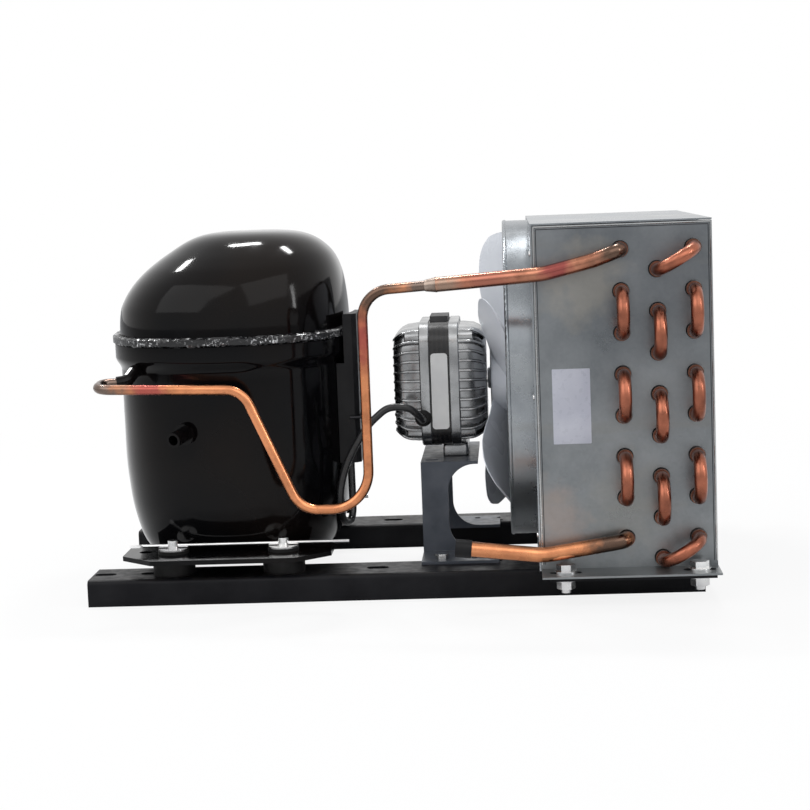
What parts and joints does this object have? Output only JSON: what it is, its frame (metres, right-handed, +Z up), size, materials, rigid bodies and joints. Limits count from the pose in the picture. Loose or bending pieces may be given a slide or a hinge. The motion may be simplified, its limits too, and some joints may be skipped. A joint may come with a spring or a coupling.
{
  "type": "condensing unit",
  "caption": "Air-cooled condensing unit on two steel rails: hermetic compressor, fan motor with shrouded axial fan, finned copper coil and open pipe tails.",
  "frame": {"origin": "on the floor at the centre of the unit's footprint", "axes": "+X along the rails from compressor to condenser, +Y away from the pipe side, +Z up"},
  "size_m": [0.3966, 0.2896, 0.2333],
  "materials": {
    "black_powder": "satin black powder coat",
    "zinc": "bright zinc plating",
    "rubber_black": "matte",
    "bright_wire": "polished",
    "gloss_black": "gloss enamel",
    "weld_black": "rough painted weld",
    "black_plastic": "fine texture",
    "pale_plastic": "smooth",
    "lamination": "varnished black laminations",
    "copper_wire": "enamelled winding",
    "bare_iron": "machined casting",
    "cast_aluminium": "bright die casting",
    "spring_steel": "oiled",
    "bronze": "sintered",
    "cable_black": "smooth sheath",
    "fan_grey": "satin pale grey",
    "bracket_black": "satin dark grey",
    "galvanised": "galvanised, mottled",
    "fin_aluminium": "thin fin stock",
    "copper": "copper tube with heat tint",
    "braze": "brazing alloy"
  },
  "bodies": {
    "unit": {"front_rail": "black_powder", "rear_rail": "black_powder", "condenser_shelf": "black_powder", "rail_studs": "zinc", "grommets": "rubber_black", "grommet_sleeves": "zinc", "grommet_washers": "zinc", "retaining_rods": "bright_wire", "compressor_feet": "gloss_black", "lower_shell": "gloss_black", "upper_shell": "gloss_black", "shell_weld": "weld_black", "discharge_stub": "gloss_black", "suction_stub": "gloss_black", "process_stub": "gloss_black", "terminal_cover": "black_plastic", "terminal_clip": "bright_wire", "terminal_block": "black_plastic", "start_relay": "pale_plastic", "pump_stator": "lamination", "pump_windings": "copper_wire", "pump_rotor": "lamination", "crankshaft": "bare_iron", "pump_block": "bare_iron", "cylinder_head": "bare_iron", "piston": "zinc", "connecting_rod": "cast_aluminium", "suspension_springs": "spring_steel", "rear_motor_cover": "cast_aluminium", "front_motor_cover": "cast_aluminium", "fan_stator": "lamination", "fan_windings": "copper_wire", "fan_bushes": "bronze", "motor_screws": "zinc", "motor_strap": "black_plastic", "lead_gland": "rubber_black", "fan_lead": "cable_black", "motor_bracket": "bracket_black", "bracket_screws": "zinc", "motor_foot_screws": "zinc", "shroud": "galvanised", "shroud_rivets": "zinc", "front_endplate": "galvanised", "rear_endplate": "galvanised", "fin_pack": "fin_aluminium", "hairpin_tubes": "copper", "return_bends": "copper", "condenser_bolts": "zinc", "condenser_washers": "zinc", "condenser_nuts": "zinc", "discharge_pipe": "copper", "inlet_pipe": "copper", "outlet_pipe": "copper", "outlet_cap": "black_plastic", "braze_joints": "braze"},
    "fan_rotor_body": {"fan": "fan_grey", "fan_shaft": "bright_wire", "fan_rotor": "lamination", "fan_nut": "zinc"}
  },
  "joints": [
    {"name": "fan_spin", "type": "hinge", "parent": "unit", "child": "fan_rotor_body", "pos_m": [0.05, 0, 0.1275], "axis": [1, 0, 0], "continuous": true}
  ]
}
